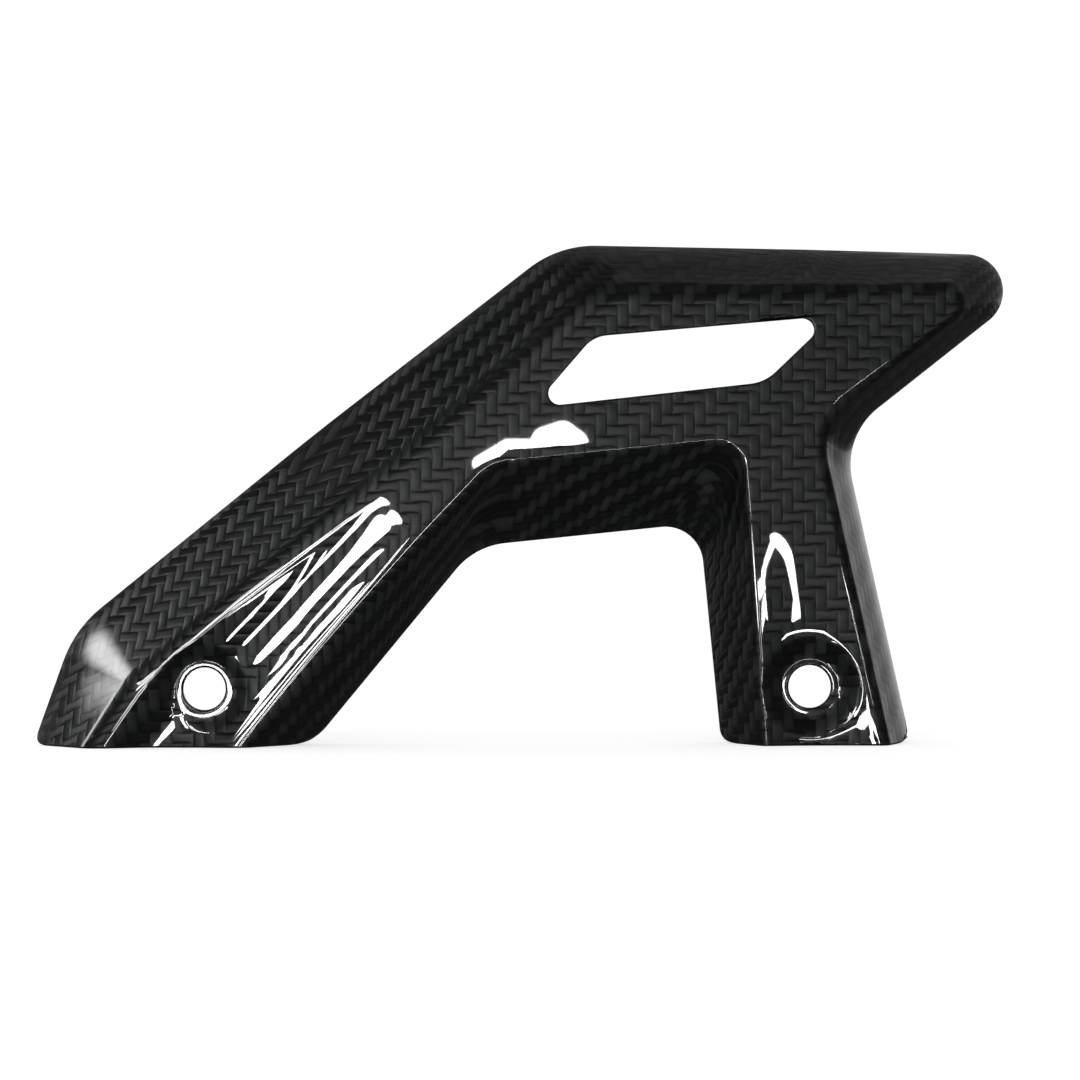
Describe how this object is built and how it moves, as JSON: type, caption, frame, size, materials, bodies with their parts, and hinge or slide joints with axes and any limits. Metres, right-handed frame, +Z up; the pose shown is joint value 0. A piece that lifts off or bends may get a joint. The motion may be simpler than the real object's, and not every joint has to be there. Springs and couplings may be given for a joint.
{
  "type": "motorcycle chain guard",
  "caption": "One-piece carbon fibre chain guard: a thin flanged shell with a slanted leg and a short leg round an open arch, a slanted window, and a dished bolt hole at the foot of each leg.",
  "frame": {"origin": "axis of the long leg's bolt hole, on the back face of its seat", "axes": "+X from the long leg's bolt hole to the short leg's, +Z up the guard, -Y out of the face that shows"},
  "size_m": [0.1808, 0.0156, 0.0929],
  "materials": {
    "carbon": "black twill carbon weave under a gloss clear coat"
  },
  "bodies": {
    "root": {"guard_shell": "carbon"}
  },
  "joints": []
}
